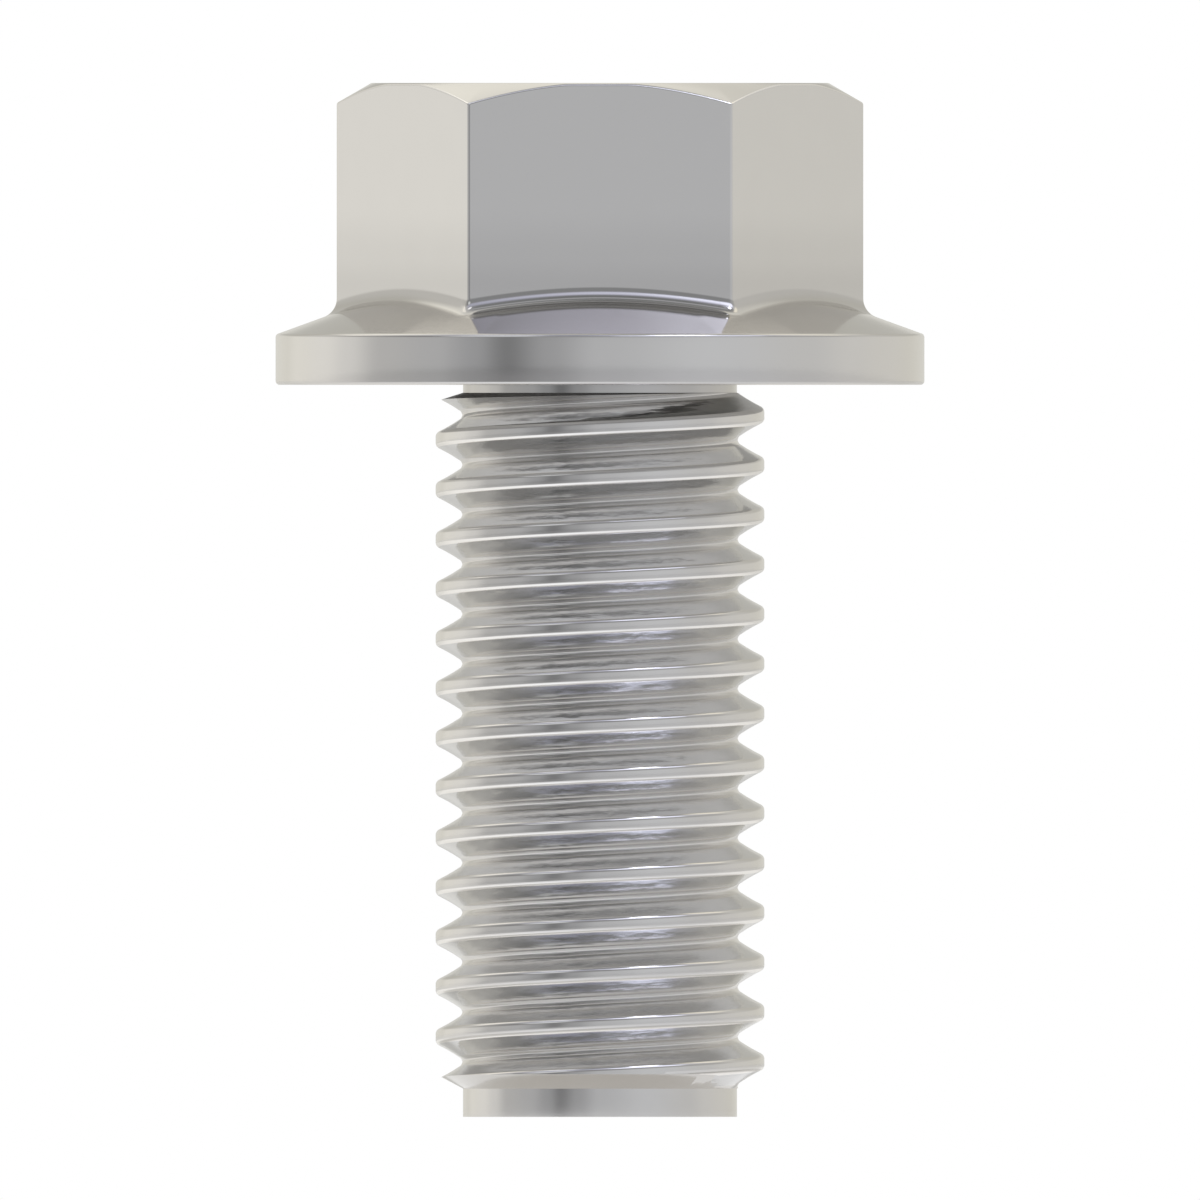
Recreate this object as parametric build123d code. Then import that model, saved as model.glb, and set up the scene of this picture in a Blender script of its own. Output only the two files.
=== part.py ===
from build123d import *
import math
import os

# Flange bolt: a hexagon head forged in one piece with a round flange, a fully threaded
# shank and a short plain pilot at its end. The origin is the centre of the bearing face
# under the flange, +Z points up through the head, and one flat of the hexagon faces -Y.
# All lengths are in millimetres and all angles in degrees.

# Hexagon head
across_flats = 13.78
head_height = 9.1
crown_angle = 30.0

# Flange
flange_diameter = 19.56
rim_height = 1.516
flange_cone_angle = 20.0
rim_edge_break = 0.085
head_root_round = 0.6

# Conical undercut in the bearing face, which keeps it clear of the thread
undercut_wall = 0.15
undercut_depth = 0.25

# Shank, measured down from the bearing face
shank_length = 22.07
neck_length = 0.24
pilot_length = 0.85

# Right-hand rolled thread. The crest and the root are flats, as shares of the pitch.
major_diameter = 9.91
pitch = 1.5
thread_angle = 60.0
crest_share = 1 / 4
root_share = 1 / 8
# Depth below the bearing face at which the first root crosses the +X side
first_root_depth = 1.661
start_cone_angle = 17.5
end_cone_angle = 28.0

# How far the neck and the pilot lie inside the thread's root
neck_step = 0.013
pilot_step = 0.013

# Shapes that cut or join run past the surface that they meet by this much
overrun = 0.1

major_radius = major_diameter / 2
flank_slope = 1 / math.tan(math.radians(thread_angle / 2))
crest_half = crest_share * pitch / 2
root_half = root_share * pitch / 2
root_radius = major_radius - (pitch / 2 - crest_half - root_half) * flank_slope
neck_radius = root_radius - neck_step
pilot_radius = root_radius - pilot_step


def turned(*points):
    """Solid of revolution about Z from a closed outline of (radius, height) points."""
    outline = make_face(Polyline(*points, close=True))
    return revolve(Plane.XZ * outline, Axis.Z)


def rise(run, angle):
    """Height gained over a radial run by a cone at this angle from the horizontal."""
    return run * math.tan(math.radians(angle))


def hexagon():
    """Hexagonal prism whose top is trimmed by the crown cone."""
    flat_radius = across_flats / 2
    prism = extrude(RegularPolygon(flat_radius, 6, major_radius=False), head_height)
    # The crown cone starts at the circle inscribed in the hexagon.
    crown = turned(
        (0, 0),
        (2 * flat_radius, 0),
        (2 * flat_radius, head_height - rise(flat_radius, crown_angle)),
        (flat_radius, head_height),
        (0, head_height),
    )
    return prism & crown


def flange():
    """Upright rim with broken edges under a cone that climbs to the axis."""
    radius = flange_diameter / 2
    disc = turned(
        (0, 0),
        (radius, 0),
        (radius, rim_height),
        (0, rim_height + rise(radius, flange_cone_angle)),
    )
    disc = chamfer(disc.edges().filter_by(GeomType.CIRCLE), rim_edge_break)
    # The seam of the turned faces lies at the middle of a flat, clear of the corners.
    return Rot(0, 0, 30) * disc


def head():
    """Hexagon joined to the flange along its foot, with the undercut in its face."""
    top, base = hexagon(), flange()
    joined = top + base
    # The foot is the chord of the forged round, from one tangent point to the other.
    foot = head_root_round / math.tan(math.radians((90 + flange_cone_angle) / 2))
    joined = chamfer(new_edges(top, base, combined=joined), foot)
    undercut = turned(
        (0, 0),
        (major_radius + undercut_wall, 0),
        (neck_radius, undercut_depth),
        (0, undercut_depth),
    )
    return joined - undercut


def thread_groove():
    """Cutter for the space between two ridges, swept along the thread's helix."""
    outer_radius = major_radius + overrun
    outer_half = root_half + (outer_radius - root_radius) / flank_slope
    section = Plane.XZ * make_face(
        Polyline(
            (root_radius, root_half),
            (outer_radius, outer_half),
            (outer_radius, -outer_half),
            (root_radius, -root_half),
            close=True,
        )
    )
    # The helix is a chain of single turns, from below the pilot to above the neck.
    turns_below = math.ceil((shank_length - first_root_depth) / pitch) + 1
    turns_above = math.ceil(first_root_depth / pitch) + 1
    turn = Helix(pitch=pitch, height=pitch, radius=major_radius)
    bottom = -first_root_depth - turns_below * pitch
    helix = Wire([Pos(0, 0, n * pitch) * turn for n in range(turns_below + turns_above)])
    return Pos(0, 0, bottom) * sweep(section, path=helix, is_frenet=True)


def shank():
    """Threaded bar trimmed to its neck, the two end cones of the thread and its pilot."""
    bar = Cylinder(major_radius, 3 * shank_length) - thread_groove()
    neck_top = undercut_depth + overrun
    thread_top = -neck_length
    thread_end = pilot_length - shank_length
    outer_radius = major_radius + overrun
    envelope = turned(
        (0, neck_top),
        (neck_radius, neck_top),
        (neck_radius, thread_top),
        (outer_radius, thread_top - rise(outer_radius - neck_radius, start_cone_angle)),
        (outer_radius, thread_end + rise(outer_radius - pilot_radius, end_cone_angle)),
        (pilot_radius, thread_end),
        (pilot_radius, -shank_length),
        (0, -shank_length),
    )
    return bar & envelope


bolt = head() + shank()
os.makedirs("parts", exist_ok=True)
export_step(bolt, "parts/flange_bolt.step")
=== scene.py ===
import math

import bmesh
import bpy
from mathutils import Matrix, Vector


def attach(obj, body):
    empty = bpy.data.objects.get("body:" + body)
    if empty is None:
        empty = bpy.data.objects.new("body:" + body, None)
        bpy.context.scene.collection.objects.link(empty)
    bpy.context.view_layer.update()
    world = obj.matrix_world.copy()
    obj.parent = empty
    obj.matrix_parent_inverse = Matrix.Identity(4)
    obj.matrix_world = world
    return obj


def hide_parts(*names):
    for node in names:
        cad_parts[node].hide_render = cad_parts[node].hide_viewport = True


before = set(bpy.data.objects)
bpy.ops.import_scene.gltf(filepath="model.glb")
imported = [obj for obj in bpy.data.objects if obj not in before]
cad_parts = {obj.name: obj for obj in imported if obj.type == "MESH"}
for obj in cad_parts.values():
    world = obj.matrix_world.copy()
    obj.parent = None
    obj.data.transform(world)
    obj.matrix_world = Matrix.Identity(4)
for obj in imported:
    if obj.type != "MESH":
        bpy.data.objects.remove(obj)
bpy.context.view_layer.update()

# Lengths are in metres and angles in degrees. The origin is the centre of the bearing
# face under the flange, +Z points up through the head and one flat faces the camera (-Y).
MM = 0.001

# Hexagon head
ACROSS_FLATS = 13.78 * MM
HEAD_HEIGHT = 9.1 * MM
CROWN_ANGLE = 30
CROWN_EDGE_ROUND = 0.1 * MM
CORNER_ROUND = 0.12 * MM
# Width of the ring inside the top face's edge that keeps the face's shading flat
TOP_RING = 0.3 * MM
HEAD_ROOT_ROUND = 0.6 * MM

# Flange
FLANGE_RADIUS = 9.78 * MM
RIM_HEIGHT = 1.516 * MM
FLANGE_CONE_ANGLE = 20
RIM_EDGE_ROUND = 0.12 * MM
UNDERCUT_WALL = 0.15 * MM
UNDERCUT_DEPTH = 0.25 * MM

# Shank
SHANK_LENGTH = 22.07 * MM
NECK_LENGTH = 0.24 * MM
PILOT_LENGTH = 0.85 * MM
# How far the neck and the pilot lie inside the thread's root
NECK_STEP = 0.013 * MM

# Thread
MAJOR_RADIUS = 4.955 * MM
PITCH = 1.5 * MM
THREAD_ANGLE = 60
CREST_SHARE = 1 / 4
ROOT_SHARE = 1 / 8
CREST_ROUND = 0.165 * MM
ROOT_ROUND = 0.15 * MM
# The root is a shallow V whose sides rise by this much, with a small round in its middle.
ROOT_RISE = 0.056 * MM
ROOT_CREASE_ROUND = 0.07 * MM
# Angle between the straight line across a flank and its hollow curve, at either end
FLANK_HOLLOW = 4
# Depth below the bearing face at which the first root crosses the +X side
FIRST_ROOT_DEPTH = 1.661 * MM
START_CONE_ANGLE = 17.5
END_CONE_ANGLE = 28

# Steps of the mesh
COLUMNS_PER_FLAT = 34
COLUMNS_PER_CORNER = 5
DEGREES_PER_STEP = 15
FLANK_STEPS = 3
# Turns of the thread drawn above its first root. The cones at its ends cut off what is over.
SPARE_TURNS = 2
# An arc that is this share of a step over a whole number of steps gets no further step.
STEP_SLACK = 0.01
SHARP_ANGLE = 25
WELD = 0.0001 * MM
# How strongly the larger faces set the shading along an edge, where 50 is neutral
LARGE_FACE_WEIGHT = 100

# Finishes of the steel: name, tint, darkest and lightest linear grey, roughness from and to,
# and the depth of its rolling waves
WARM = (1.01, 0.98, 0.93)
NEUTRAL = (1.0, 0.99, 0.97)
FINISHES = (
    ("steel", WARM, 0.66, 0.68, 0.08, 0.14, 0),
    ("rolled_flank", NEUTRAL, 0.64, 0.68, 0.12, 0.16, 0.014 * MM),
    # Lighter steel on edge rounds: a painted highlight that brightens their reflections
    ("highlight_edge", WARM, 0.86, 0.94, 0.12, 0.18, 0),
    # The turned face is rough, and darker as painted shade under the flange.
    ("turned_shaded_face", NEUTRAL, 0.42, 0.52, 0.3, 0.4, 0),
    ("pilot", WARM, 0.65, 0.67, 0.03, 0.06, 0),
    # The neck and the start cone are darker steel: painted shade under the flange.
    ("neck", WARM, 0.5, 0.53, 0.03, 0.06, 0),
    ("shaded_start_cone", NEUTRAL, 0.1, 0.22, 0.3, 0.4, 0),
)
STEEL, FLANK, EDGE, TURNED_SHADED, PILOT, NECK, START = range(len(FINISHES))
# Noise of the tone and gloss, and of the waves, which are flat along the thread
DRIFT_SCALE, DRIFT_DETAIL = 900, 3
WAVE_SCALE, WAVE_DETAIL = 1100, 2
WAVE_FLATNESS = 6
# Painted shade that darkens the head towards its foot on the flange: (height, share of the
# colour left)
PAINTED_FOOT_SHADE = (
    (1.4 * MM, 1), (1.7 * MM, 0.95), (3.0 * MM, 0.87), (3.9 * MM, 0.93), (5.4 * MM, 1),
)

# Studio. An azimuth is counted round the bolt from the camera, which is at 0, and grows
# towards the right of the picture. Each ring of the tent is a list of (azimuth, brightness),
# from the point behind the bolt round its left and front to its right and back.
TENT_RADIUS = 0.4
TENT_WALL = (
    (-180, 0.72), (-150, 0.85), (-135, 0.97), (-115, 0.98), (-100, 0.86), (-84, 0.62),
    (-60, 0.57), (-45, 0.44), (-33, 0.26), (-18, 0.45), (0, 0.62), (40, 0.73), (80, 0.72),
    (100, 0.79), (120, 0.81), (150, 0.79), (180, 0.72),
)
TENT_BROW = (
    (-180, 0.56), (-150, 0.63), (-120, 0.75), (-95, 0.48), (-70, 0.32), (0, 0.34), (60, 0.5),
    (90, 0.55), (115, 0.72), (150, 0.63), (180, 0.56),
)
TENT_CROWN = (
    (-180, 1.0), (-150, 1.12), (-130, 0.95), (-90, 0.65), (-45, 0.55), (-12, 0.58),
    (1, 0.86), (60, 0.66), (90, 0.75), (130, 0.8), (160, 0.84), (180, 1.0),
)
TENT_TOP = (
    (-180, 1.1), (-90, 0.65), (-45, 0.32), (0, 0.25), (60, 0.3), (90, 0.4), (140, 0.9),
    (180, 1.1),
)
# The front of the tent is bluish, most of all in the crown's ring, its sides are neutral
# and its rear is warm.
COOL_TINT = (0.995, 1.025, 1.09)
CROWN_TINT = (1.0, 1.03, 1.28)
WARM_TINT = (1.0, 0.985, 0.92)
COOL_WITHIN, NEUTRAL_AT, WARM_BEYOND = 45, 100, 150
# Elevations over which one ring fades into the next
WALL_TO_BROW = 6, 14
BROW_TO_CROWN = 31, 40
CROWN_TO_TOP = 46, 60
# The dome's mesh, in steps of azimuth and elevation
TENT_STEP = 5
TENT_LOWEST, TENT_HIGHEST = -5, 85

# Softboxes: name, azimuth, elevation, width and height in degrees, brightness, colour
SOFTBOXES = (
    ("key_right", 37, 41, 68, 27, 1.62, (0.92, 0.96, 1.18)),
    ("key_left", -42, 27, 46, 22, 0.92, (0.96, 1.0, 1.06)),
    ("top_left", -50, 58, 34, 12, 1.6, (0.98, 1.0, 1.08)),
    ("top_right", 42, 58, 24, 10, 7.0, (0.93, 0.97, 1.17)),
    ("top_strip", 0, 74, 60, 10, 0.55, (0.97, 1.0, 1.06)),
    ("side_right", 110, 48, 26, 36, 1.15, (1.03, 0.99, 0.88)),
    ("side_left", -112, 45, 26, 42, 1.2, (1.02, 1.0, 0.95)),
)
SOFTBOX_DISTANCE = 0.36
# Share of the way in from the edge to the middle at which a card is at its full brightness
SOFTBOX_FADE = 0.5

# Floor. It glows in rings for the metal, and evenly for the camera.
FLOOR_RADIUS = 2.0
FLOOR_STEP = 6
FLOOR_COLOUR = 0.4
FLOOR_ROUGHNESS = 0.9
FLOOR_FOOT_GLOW = 0.66
FLOOR_NEAR = ((-180, 0.57), (180, 0.57))
FLOOR_RING = (
    (-180, 0.8), (-90, 0.95), (-30, 1.0), (0, 0.92), (45, 0.85), (90, 0.85), (180, 0.8),
)
# Distances from the axis over which one ring of the floor fades into the next
FLOOR_FOOT_TO_NEAR = 5.5 * MM, 7.5 * MM
FLOOR_NEAR_TO_RING = 9 * MM, 15 * MM
FLOOR_RING_TO_WALL = 28 * MM, 60 * MM
# Share of the tent's wall in the far floor, and the light that the floor returns by itself
FLOOR_WALL_SHARE = 0.85
FLOOR_OWN_LEVEL = 0.3
FLOOR_GLOW_SEEN = 0.6

FLOOR_LAMP_SIZE = 0.12
FLOOR_LAMP_DISTANCE = 0.35
FLOOR_LAMP_POWER = 0.1
FLOOR_LAMP_AZIMUTH, FLOOR_LAMP_ELEVATION = -140, 50

# Camera, from the size of the photograph and the row of its bearing face, in pixels
PHOTO_SIZE = 1200
BEARING_FACE_ROW = 384.8
PIXELS_PER_METRE = 33170
VIEW_WIDTH = PHOTO_SIZE / PIXELS_PER_METRE
VIEW_CENTRE_HEIGHT = (BEARING_FACE_ROW - PHOTO_SIZE / 2) / PIXELS_PER_METRE
CAMERA_DISTANCE = 0.3


def tan(degrees):
    return math.tan(math.radians(degrees))


FLAT_RADIUS = ACROSS_FLATS / 2
# Height at which the flange's cone would reach the axis
CONE_TOP = RIM_HEIGHT + FLANGE_RADIUS * tan(FLANGE_CONE_ANGLE)
FLANK_SLOPE = 1 / tan(THREAD_ANGLE / 2)
CREST_HALF = CREST_SHARE * PITCH / 2
ROOT_HALF = ROOT_SHARE * PITCH / 2
ROOT_RADIUS = MAJOR_RADIUS - (PITCH / 2 - CREST_HALF - ROOT_HALF) * FLANK_SLOPE
NECK_RADIUS = ROOT_RADIUS - NECK_STEP
PILOT_RADIUS = NECK_RADIUS
THREAD_END = PILOT_LENGTH - SHANK_LENGTH


def direction(angle, height=0.0):
    """Unit vector at this azimuth in radians, tilted up by a height in radians."""
    flat = math.cos(height)
    return Vector((flat * math.cos(angle), flat * math.sin(angle), math.sin(height)))


def from_bolt(azimuth, elevation):
    """Unit vector at an azimuth from the camera and an elevation, both in degrees."""
    return direction(math.radians(azimuth - 90), math.radians(elevation))


def arc_steps(turn):
    """Steps of an arc that turns by this many degrees."""
    return math.ceil(turn / DEGREES_PER_STEP - STEP_SLACK)


def rounded(outline):
    """Inner points of a polyline of (radius, height, round) corners, with their arcs."""
    corners = [Vector(corner[:2]) for corner in outline]
    points = []
    for index in range(1, len(corners) - 1):
        corner, size = corners[index], outline[index][2]
        if not size:
            points.append(corner)
            continue
        back = (corners[index - 1] - corner).normalized()
        ahead = (corners[index + 1] - corner).normalized()
        turn = math.pi - back.angle(ahead)
        inward = (back + ahead).normalized()
        along = (ahead - back).normalized()
        centre = corner + inward * size / math.cos(turn / 2)
        steps = arc_steps(math.degrees(turn))
        for step in range(steps + 1):
            angle = turn * (step / steps - 0.5)
            points.append(centre + size * (along * math.sin(angle) - inward * math.cos(angle)))
    return points


def hollow(start, end):
    """Inner points of a flank that is slightly hollow from its upper to its lower end."""
    run = end - start
    # The flank runs down, so this points into the steel.
    inward = Vector((run.y, -run.x))
    points = []
    for step in range(1, FLANK_STEPS):
        share = step / FLANK_STEPS
        points.append(start + run * share + inward * tan(FLANK_HOLLOW) * share * (1 - share))
    return points


def hexagon_outline():
    """(point, outward angle) round the hexagon, whose corners are rounded in plan."""
    apothem = FLAT_RADIUS - CORNER_ROUND
    corner_distance = apothem / math.cos(math.radians(30))
    half_width = apothem * tan(30)
    # Along a flat the points lie at even azimuths of the ball that rolls round its foot.
    ball_distance = FLAT_RADIUS + HEAD_ROOT_ROUND
    reach = math.atan(half_width / ball_distance)
    outline = []
    for flat in range(6):
        facing = math.radians(60 * flat - 90)
        outward = direction(facing)
        sideways = direction(facing + math.pi / 2)
        for step in range(COLUMNS_PER_FLAT):
            turn = reach * (2 * step / COLUMNS_PER_FLAT - 1)
            point = outward * FLAT_RADIUS + sideways * ball_distance * math.tan(turn)
            outline.append((point, facing))
        corner = direction(facing + math.radians(30)) * corner_distance
        for step in range(COLUMNS_PER_CORNER):
            angle = facing + math.radians(60 * step / COLUMNS_PER_CORNER)
            outline.append((corner + direction(angle) * CORNER_ROUND, angle))
    return outline


def crown_points(reach):
    """Edge rounds of the crown where the hexagon's side lies this far from the axis."""
    size = CROWN_EDGE_ROUND
    side = reach - size
    top = HEAD_HEIGHT - size
    # Where the crown cone is shorter than its edge rounds, the two rounds are one.
    first = Vector((min(side, FLAT_RADIUS - size * tan(CROWN_ANGLE / 2)), top))
    drop = (side - FLAT_RADIUS) * tan(CROWN_ANGLE)
    slant = size / math.cos(math.radians(CROWN_ANGLE))
    second = Vector((side, min(top, HEAD_HEIGHT - drop - slant)))
    points = []
    for centre, start, end in ((first, 0, CROWN_ANGLE), (second, CROWN_ANGLE, 90)):
        steps = arc_steps(end - start)
        for step in range(steps + 1):
            angle = math.radians(start + (end - start) * step / steps)
            points.append(centre + size * Vector((math.sin(angle), math.cos(angle))))
    return points


def root_round_points(point, outward_angle):
    """Arc of the ball that rolls round the head's foot, and the azimuth of its centre."""
    size = HEAD_ROOT_ROUND
    centre = point + direction(outward_angle) * size
    slope = math.radians(FLANGE_CONE_ANGLE)
    centre.z = CONE_TOP - centre.length * math.tan(slope) + size / math.cos(slope)
    azimuth = math.atan2(centre.y, centre.x)
    start = -direction(outward_angle)
    end = -direction(azimuth, math.pi / 2 - slope)
    turn = start.angle(end)
    steps = 2 * arc_steps(math.degrees(turn))
    points = []
    for step in range(steps + 1):
        share = step / steps
        ray = start * math.sin((1 - share) * turn) + end * math.sin(share * turn)
        points.append(centre + ray * size / math.sin(turn))
    return points, azimuth


def clipped(points, excess):
    """The points, with those outside a cone drawn to where the outline crosses it."""
    first = next(index for index, point in enumerate(points) if excess(point) <= 0)
    outside, inside = points[first - 1], points[first]
    share = excess(outside) / (excess(outside) - excess(inside))
    return [outside.lerp(inside, share)] * first + points[first:]


def ridge_points():
    """One pitch of the thread's outline, from its crest's lower edge down to the next crest."""
    wall_radius = ROOT_RADIUS + ROOT_RISE
    wall_half = ROOT_HALF + ROOT_RISE / FLANK_SLOPE
    ridge = rounded([
        (MAJOR_RADIUS, 0, 0),
        (MAJOR_RADIUS, -CREST_HALF, CREST_ROUND),
        (wall_radius, wall_half - PITCH / 2, ROOT_ROUND),
        (ROOT_RADIUS, -PITCH / 2, ROOT_CREASE_ROUND),
        (wall_radius, -wall_half - PITCH / 2, ROOT_ROUND),
        (MAJOR_RADIUS, CREST_HALF - PITCH, CREST_ROUND),
        (MAJOR_RADIUS, -PITCH, 0),
    ])
    edge = arc_steps(THREAD_ANGLE) + 1
    crest_edge, root, next_edge = ridge[:edge], ridge[edge:-edge], ridge[-edge:]
    upper = hollow(crest_edge[-1], root[0])
    lower = hollow(root[-1], next_edge[0])
    return crest_edge + upper + root + lower + next_edge


def thread_points(azimuth, ridge):
    """The thread's outline at an azimuth in radians, from its start cone to its end."""
    top = PITCH * (azimuth / (2 * math.pi) + (SPARE_TURNS + 0.5)) - FIRST_ROOT_DEPTH
    points = []
    for turn in range(math.ceil(SHANK_LENGTH / PITCH) + SPARE_TURNS):
        points += [point + Vector((0, top - turn * PITCH)) for point in ridge]

    def above_start(point):
        return point.x - NECK_RADIUS + (point.y + NECK_LENGTH) / tan(START_CONE_ANGLE)

    def below_end(point):
        return point.x - PILOT_RADIUS - (point.y - THREAD_END) / tan(END_CONE_ANGLE)

    points = clipped(points, above_start)
    return clipped(points[::-1], below_end)[::-1]


def bolt_columns():
    """Columns of points down the bolt, round it once, and the finish of each row of faces."""
    top_ring = Vector((FLAT_RADIUS - TOP_RING, HEAD_HEIGHT))
    collar = rounded([
        (0, CONE_TOP, 0),
        (FLANGE_RADIUS, RIM_HEIGHT, RIM_EDGE_ROUND),
        (FLANGE_RADIUS, 0, RIM_EDGE_ROUND),
        (MAJOR_RADIUS + UNDERCUT_WALL, 0, 0),
        (NECK_RADIUS, UNDERCUT_DEPTH, 0),
        (NECK_RADIUS, -NECK_LENGTH, 0),
        (MAJOR_RADIUS, -PITCH, 0),
    ])
    ridge = ridge_points()
    end = [
        Vector((PILOT_RADIUS, THREAD_END)),
        Vector((PILOT_RADIUS, -SHANK_LENGTH)),
        Vector((0, -SHANK_LENGTH)),
    ]
    outline = hexagon_outline()
    columns = []
    last_azimuth = -math.pi
    # The last column repeats the first one, a whole turn further along the thread.
    for point, outward_angle in outline + outline[:1]:
        reach = point.length
        column = [Vector((0, 0, HEAD_HEIGHT))]
        for radius, height in [top_ring] + crown_points(reach):
            column.append(point * radius / reach + Vector((0, 0, height)))
        foot, azimuth = root_round_points(point, outward_angle)
        column += foot
        if azimuth < last_azimuth:
            azimuth += 2 * math.pi
        last_azimuth = azimuth
        thread = thread_points(azimuth, ridge)
        for radius, height in collar + thread + end:
            column.append(direction(azimuth) * radius + Vector((0, 0, height)))
        columns.append(column)

    # The top and its ring, the crown's inner round, its cone, and its outer round, whose
    # middle has lighter steel as a painted highlight
    crown = [STEEL] * (arc_steps(CROWN_ANGLE) + 4)
    crown += [EDGE] * (arc_steps(90 - CROWN_ANGLE) - 2) + [STEEL]
    # The bearing face and its undercut, the neck and the thread's start cone, all darkened as
    # painted shade under the flange
    under_flange = [TURNED_SHADED, TURNED_SHADED, NECK, START]
    above_thread = len(column) - len(thread) - len(end)
    between = [STEEL] * (above_thread - len(crown) - len(under_flange))
    # One pitch of the thread. Its crest's lower edge has lighter steel as a painted highlight.
    edge = arc_steps(THREAD_ANGLE)
    flank = [FLANK] * FLANK_STEPS
    root = [STEEL] * (len(ridge) - 2 * (edge + FLANK_STEPS) - 1)
    turn = [STEEL] + [EDGE] * (edge - 1) + flank + root + flank + [STEEL] * (edge + 1)
    turns = turn * (len(thread) // len(turn))
    # The end cone takes the place of the last crest, and the pilot and end face follow it.
    finishes = crown + between + under_flange + turns[:-1] + [STEEL, PILOT, STEEL]
    return columns, finishes


def bolt_mesh():
    """Closed mesh through the columns. Points that fall together become one."""
    columns, finishes = bolt_columns()
    rows = len(columns[0])
    points = [point for column in columns for point in column]
    faces = []
    for left in range(0, len(points) - rows, rows):
        for row in range(left, left + rows - 1):
            faces.append((row, row + 1, row + 1 + rows, row + rows))
    mesh = bpy.data.meshes.new("flange_bolt_surface")
    mesh.from_pydata(points, [], faces)
    mesh.polygons.foreach_set("material_index", finishes * (len(columns) - 1))
    shape = bmesh.new()
    shape.from_mesh(mesh)
    bmesh.ops.remove_doubles(shape, verts=shape.verts, dist=WELD)
    shape.to_mesh(mesh)
    shape.free()
    mesh.shade_smooth()
    mesh.set_sharp_from_angle(angle=math.radians(SHARP_ANGLE))
    return mesh


def placed(name, data):
    """New object in the scene."""
    thing = bpy.data.objects.new(name, data)
    bpy.context.scene.collection.objects.link(thing)
    return thing


def new_material(name):
    """New material, its nodes and its links."""
    material = bpy.data.materials.new(name)
    material.use_nodes = True
    return material, material.node_tree.nodes, material.node_tree.links


def painted(colour):
    """Colour with its alpha, from a grey or a colour."""
    if isinstance(colour, (int, float)):
        colour = (colour, colour, colour)
    return (*colour, 1)


def colour_mix(nodes):
    mix = nodes.new("ShaderNodeMix")
    mix.data_type = "RGBA"
    return mix


def mapped(nodes, links, value, low, high, interpolation="LINEAR"):
    """Share of the way from a low to a high level that a value has come."""
    share = nodes.new("ShaderNodeMapRange")
    share.interpolation_type = interpolation
    share.inputs["From Min"].default_value = low
    share.inputs["From Max"].default_value = high
    links.new(value, share.inputs["Value"])
    return share.outputs["Result"]


def ramp(nodes, links, value, stops):
    """Colour by value, from (value, grey or colour) stops, the first at 0, the last at 1."""
    shade = nodes.new("ShaderNodeValToRGB")
    shade.color_ramp.interpolation = "EASE"
    elements = shade.color_ramp.elements
    for place, colour in stops[1:-1]:
        elements.new(place).color = painted(colour)
    elements[0].color = painted(stops[0][1])
    elements[len(elements) - 1].color = painted(stops[-1][1])
    links.new(value, shade.inputs["Fac"])
    return shade.outputs["Color"]


def noise(nodes, links, place, scale, detail):
    texture = nodes.new("ShaderNodeTexNoise")
    texture.inputs["Scale"].default_value = scale
    texture.inputs["Detail"].default_value = detail
    links.new(place, texture.inputs["Vector"])
    return texture.outputs["Fac"]


def steel(name, tint, dark, light, smooth, rough, wave_depth):
    """Satin steel whose tone and gloss drift slightly, with painted shade darkening the head
    towards its foot.
    """
    material, nodes, links = new_material(name)
    shader = nodes["Principled BSDF"]
    shader.inputs["Metallic"].default_value = 1
    place = nodes.new("ShaderNodeTexCoord").outputs["Object"]
    drift = noise(nodes, links, place, DRIFT_SCALE, DRIFT_DETAIL)
    tone = colour_mix(nodes)
    tone.inputs["A"].default_value = painted([dark * share for share in tint])
    tone.inputs["B"].default_value = painted([light * share for share in tint])
    links.new(drift, tone.inputs["Factor"])
    gloss = nodes.new("ShaderNodeMapRange")
    gloss.inputs["To Min"].default_value = smooth
    gloss.inputs["To Max"].default_value = rough
    links.new(drift, gloss.inputs["Value"])
    links.new(gloss.outputs["Result"], shader.inputs["Roughness"])

    split = nodes.new("ShaderNodeSeparateXYZ")
    links.new(place, split.inputs["Vector"])
    low, high = PAINTED_FOOT_SHADE[0][0], PAINTED_FOOT_SHADE[-1][0]
    up = mapped(nodes, links, split.outputs["Z"], low, high)
    stops = [((height - low) / (high - low), share) for height, share in PAINTED_FOOT_SHADE]
    # Painted shade: the colour is darkened by height towards the head's foot.
    foot_shade = colour_mix(nodes)
    foot_shade.blend_type = "MULTIPLY"
    foot_shade.inputs["Factor"].default_value = 1
    links.new(tone.outputs["Result"], foot_shade.inputs["A"])
    links.new(ramp(nodes, links, up, stops), foot_shade.inputs["B"])
    links.new(foot_shade.outputs["Result"], shader.inputs["Base Color"])

    if wave_depth:
        flat = nodes.new("ShaderNodeMapping")
        flat.inputs["Scale"].default_value = (1, 1, WAVE_FLATNESS)
        links.new(place, flat.inputs["Vector"])
        waves = noise(nodes, links, flat.outputs["Vector"], WAVE_SCALE, WAVE_DETAIL)
        bump = nodes.new("ShaderNodeBump")
        bump.inputs["Strength"].default_value = 1
        bump.inputs["Distance"].default_value = wave_depth
        links.new(waves, bump.inputs["Height"])
        links.new(bump.outputs["Normal"], shader.inputs["Normal"])
    return material


def around_bolt(nodes, links):
    """Azimuth round the bolt as a share of the whole turn, from 0 to 1, and the position."""
    place = nodes.new("ShaderNodeTexCoord").outputs["Object"]
    turned = nodes.new("ShaderNodeMapping")
    turned.inputs["Rotation"].default_value = (0, 0, math.pi / 2)
    around = nodes.new("ShaderNodeTexGradient")
    around.gradient_type = "RADIAL"
    links.new(place, turned.inputs["Vector"])
    links.new(turned.outputs["Vector"], around.inputs["Vector"])
    return around.outputs["Fac"], place


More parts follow.
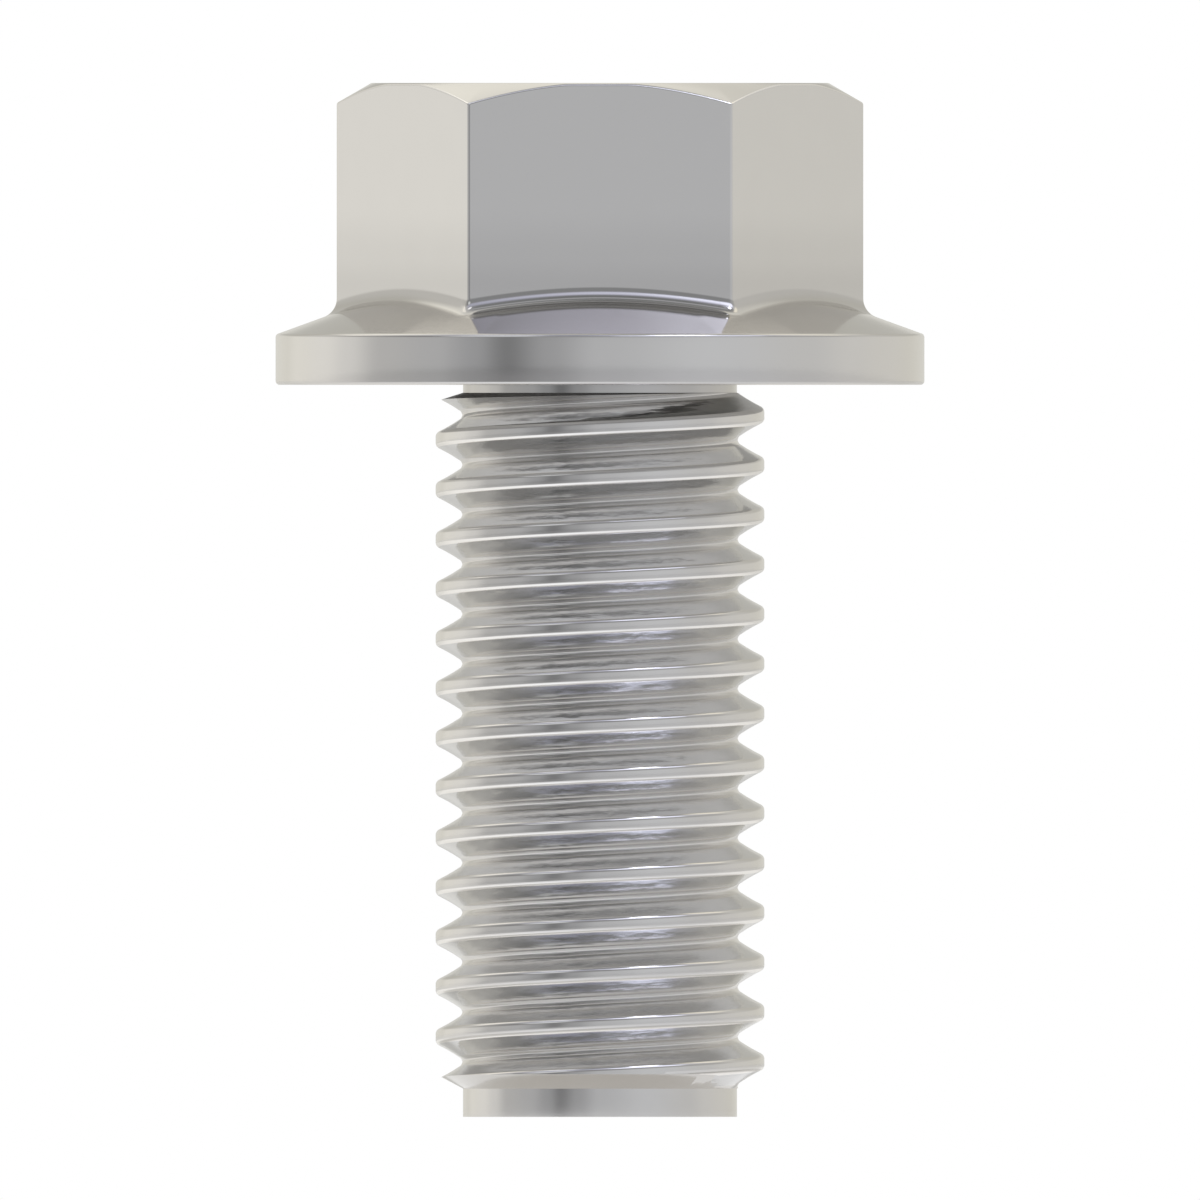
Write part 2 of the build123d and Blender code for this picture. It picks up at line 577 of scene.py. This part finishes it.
def ring_shade(nodes, links, around, levels, front):
    """Colour round a ring of (azimuth, brightness) stops, tinted in front and warm behind."""
    stops = []
    for azimuth, level in levels:
        turn = abs(azimuth)
        if turn < NEUTRAL_AT:
            tint, share = front, (NEUTRAL_AT - turn) / (NEUTRAL_AT - COOL_WITHIN)
        else:
            tint, share = WARM_TINT, (turn - NEUTRAL_AT) / (WARM_BEYOND - NEUTRAL_AT)
        share = min(share, 1)
        colour = [level * (1 + share * (hue - 1)) for hue in tint]
        stops.append((0.5 + azimuth / 360, colour))
    return ramp(nodes, links, around, stops)


def ring_chain(nodes, links, around, value, rings):
    """Rings that fade into each other as a value grows, from the colour of an open input.

    A ring is its (azimuth, brightness) stops, its tint in front, and the two values between
    which it takes over. The open input and the final colour are returned.
    """
    mixes = []
    for levels, front, (low, high) in rings:
        mix = colour_mix(nodes)
        share = mapped(nodes, links, value, low, high, "SMOOTHSTEP")
        links.new(share, mix.inputs["Factor"])
        links.new(ring_shade(nodes, links, around, levels, front), mix.inputs["B"])
        if mixes:
            links.new(mixes[-1].outputs["Result"], mix.inputs["A"])
        mixes.append(mix)
    return mixes[0].inputs["A"], mixes[-1].outputs["Result"]


def floor():
    """Pale matt floor. It looks white to the camera and in the metal, less its shadows."""
    centre = Vector((0, 0, -SHANK_LENGTH))
    rim = []
    for angle in range(0, 360, FLOOR_STEP):
        rim.append(centre + direction(math.radians(angle)) * FLOOR_RADIUS)
    mesh = bpy.data.meshes.new("floor")
    mesh.from_pydata(rim, [], [tuple(range(len(rim)))])
    ground = placed("floor", mesh)
    material, nodes, links = new_material("floor")
    shader = nodes["Principled BSDF"]
    shader.inputs["Base Color"].default_value = painted(FLOOR_COLOUR)
    shader.inputs["Roughness"].default_value = FLOOR_ROUGHNESS
    around, place = around_bolt(nodes, links)
    flat = nodes.new("ShaderNodeVectorMath")
    flat.operation = "MULTIPLY"
    flat.inputs[1].default_value = (1, 1, 0)
    links.new(place, flat.inputs[0])
    reach = nodes.new("ShaderNodeVectorMath")
    reach.operation = "LENGTH"
    links.new(flat.outputs["Vector"], reach.inputs[0])

    # Far off, the floor fades into the tent's wall behind it.
    wall = [(azimuth, FLOOR_WALL_SHARE * level) for azimuth, level in TENT_WALL]
    outwards = (
        (FLOOR_NEAR, FLOOR_FOOT_TO_NEAR),
        (FLOOR_RING, FLOOR_NEAR_TO_RING),
        (wall, FLOOR_RING_TO_WALL),
    )
    rings = []
    for levels, span in outwards:
        levels = [(azimuth, max(level - FLOOR_OWN_LEVEL, 0)) for azimuth, level in levels]
        rings.append((levels, COOL_TINT, span))
    foot, in_metal = ring_chain(nodes, links, around, reach.outputs["Value"], rings)
    foot.default_value = painted(FLOOR_FOOT_GLOW)

    path = nodes.new("ShaderNodeLightPath")
    colour = colour_mix(nodes)
    colour.inputs["B"].default_value = painted(FLOOR_GLOW_SEEN)
    links.new(path.outputs["Is Camera Ray"], colour.inputs["Factor"])
    links.new(in_metal, colour.inputs["A"])
    links.new(colour.outputs["Result"], shader.inputs["Emission Color"])
    seen = nodes.new("ShaderNodeMath")
    seen.operation = "MAXIMUM"
    links.new(path.outputs["Is Camera Ray"], seen.inputs[0])
    links.new(path.outputs["Is Glossy Ray"], seen.inputs[1])
    links.new(seen.outputs["Value"], shader.inputs["Emission Strength"])
    mesh.materials.append(material)


def unseen(name, points, faces, material):
    """Part of the studio that lights and shows in the metal but hides from the camera."""
    mesh = bpy.data.meshes.new(name)
    mesh.from_pydata(points, [], faces)
    mesh.materials.append(material)
    card = placed(name, mesh)
    card.visible_camera = False
    return card


def glowing(name):
    """New material that only glows, its nodes, its links and its emission node."""
    material, nodes, links = new_material(name)
    nodes.remove(nodes["Principled BSDF"])
    glow = nodes.new("ShaderNodeEmission")
    links.new(glow.outputs["Emission"], nodes["Material Output"].inputs["Surface"])
    return material, nodes, links, glow


def tent():
    """Glowing dome over the bolt. Its rings of shades fade into each other upwards."""
    material, nodes, links, glow = glowing("tent_cloth")
    around, place = around_bolt(nodes, links)
    aim = nodes.new("ShaderNodeVectorMath")
    aim.operation = "NORMALIZE"
    links.new(place, aim.inputs[0])
    split = nodes.new("ShaderNodeSeparateXYZ")
    links.new(aim.outputs["Vector"], split.inputs["Vector"])
    upwards = (
        (TENT_BROW, COOL_TINT, WALL_TO_BROW),
        (TENT_CROWN, CROWN_TINT, BROW_TO_CROWN),
        (TENT_TOP, COOL_TINT, CROWN_TO_TOP),
    )
    rings = []
    for levels, front, (low, high) in upwards:
        span = math.sin(math.radians(low)), math.sin(math.radians(high))
        rings.append((levels, front, span))
    wall, shade = ring_chain(nodes, links, around, split.outputs["Z"], rings)
    links.new(ring_shade(nodes, links, around, TENT_WALL, COOL_TINT), wall)
    links.new(shade, glow.inputs["Color"])

    azimuths = range(0, 360, TENT_STEP)
    elevations = range(TENT_LOWEST, TENT_HIGHEST + TENT_STEP, TENT_STEP)
    points = []
    for elevation in elevations:
        points += [from_bolt(azimuth, elevation) * TENT_RADIUS for azimuth in azimuths]
    columns = len(azimuths)
    highest = len(points) - columns
    faces = []
    for low in range(0, highest, columns):
        for column in range(columns):
            ahead = (column + 1) % columns
            high = low + columns
            faces.append((low + column, low + ahead, high + ahead, high + column))
    faces.append(tuple(range(highest, len(points))))
    unseen("tent", points, faces, material)


def aimed(thing, azimuth, elevation, distance):
    """Puts a lamp or card at a place round the bolt, facing it."""
    thing.location = from_bolt(azimuth, elevation) * distance
    thing.rotation_euler = thing.location.to_track_quat("Z", "Y").to_euler()


def softboxes():
    """Soft-edged glowing cards inside the tent that face the bolt."""
    for name, azimuth, elevation, width, height, level, colour in SOFTBOXES:
        material, nodes, links, glow = glowing(name)
        glow.inputs["Color"].default_value = painted(colour)
        glow.inputs["Strength"].default_value = level
        place = nodes.new("ShaderNodeTexCoord")
        fade = nodes.new("ShaderNodeTexGradient")
        fade.gradient_type = "SPHERICAL"
        links.new(place.outputs["Object"], fade.inputs["Vector"])
        core = mapped(nodes, links, fade.outputs["Fac"], 0, SOFTBOX_FADE, "SMOOTHSTEP")
        clear = nodes.new("ShaderNodeBsdfTransparent")
        mix = nodes.new("ShaderNodeMixShader")
        links.new(core, mix.inputs["Fac"])
        links.new(clear.outputs["BSDF"], mix.inputs[1])
        links.new(glow.outputs["Emission"], mix.inputs[2])
        links.new(mix.outputs["Shader"], nodes["Material Output"].inputs["Surface"])
        corners = [(-1, -1, 0), (1, -1, 0), (1, 1, 0), (-1, 1, 0)]
        box = unseen(name, corners, [(0, 1, 2, 3)], material)
        aimed(box, azimuth, elevation, SOFTBOX_DISTANCE)
        box.scale = (SOFTBOX_DISTANCE * tan(width / 2), SOFTBOX_DISTANCE * tan(height / 2), 1)


def floor_lamp():
    """Soft lamp over the floor, which casts the bolt's shadow and hides from the metal."""
    lamp = bpy.data.lights.new("floor_lamp", "AREA")
    lamp.size = FLOOR_LAMP_SIZE
    lamp.energy = FLOOR_LAMP_POWER
    box = placed("floor_lamp", lamp)
    aimed(box, FLOOR_LAMP_AZIMUTH, FLOOR_LAMP_ELEVATION, FLOOR_LAMP_DISTANCE)
    box.visible_camera = False
    box.visible_glossy = False


def white_world():
    world = bpy.data.worlds.new("studio")
    world.use_nodes = True
    background = world.node_tree.nodes["Background"]
    background.inputs["Color"].default_value = painted(1)
    background.inputs["Strength"].default_value = 1
    bpy.context.scene.world = world


def camera():
    """Level view along +Y that takes in the photograph's whole frame."""
    lens = bpy.data.cameras.new("camera")
    lens.type = "ORTHO"
    lens.ortho_scale = VIEW_WIDTH
    lens.clip_start = 1 * MM
    eye = placed("camera", lens)
    eye.location = (0, -CAMERA_DISTANCE, VIEW_CENTRE_HEIGHT)
    eye.rotation_euler = (math.pi / 2, 0, 0)
    bpy.context.scene.camera = eye


bolt = placed("flange_bolt_steel", bolt_mesh())
normals = bolt.modifiers.new("even_shading", "WEIGHTED_NORMAL")
normals.keep_sharp = True
normals.weight = LARGE_FACE_WEIGHT
for finish in FINISHES:
    bolt.data.materials.append(steel(*finish))
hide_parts("flange_bolt")
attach(bolt, "root")

floor()
tent()
softboxes()
floor_lamp()
white_world()
camera()
bpy.context.scene.view_settings.view_transform = "Standard"
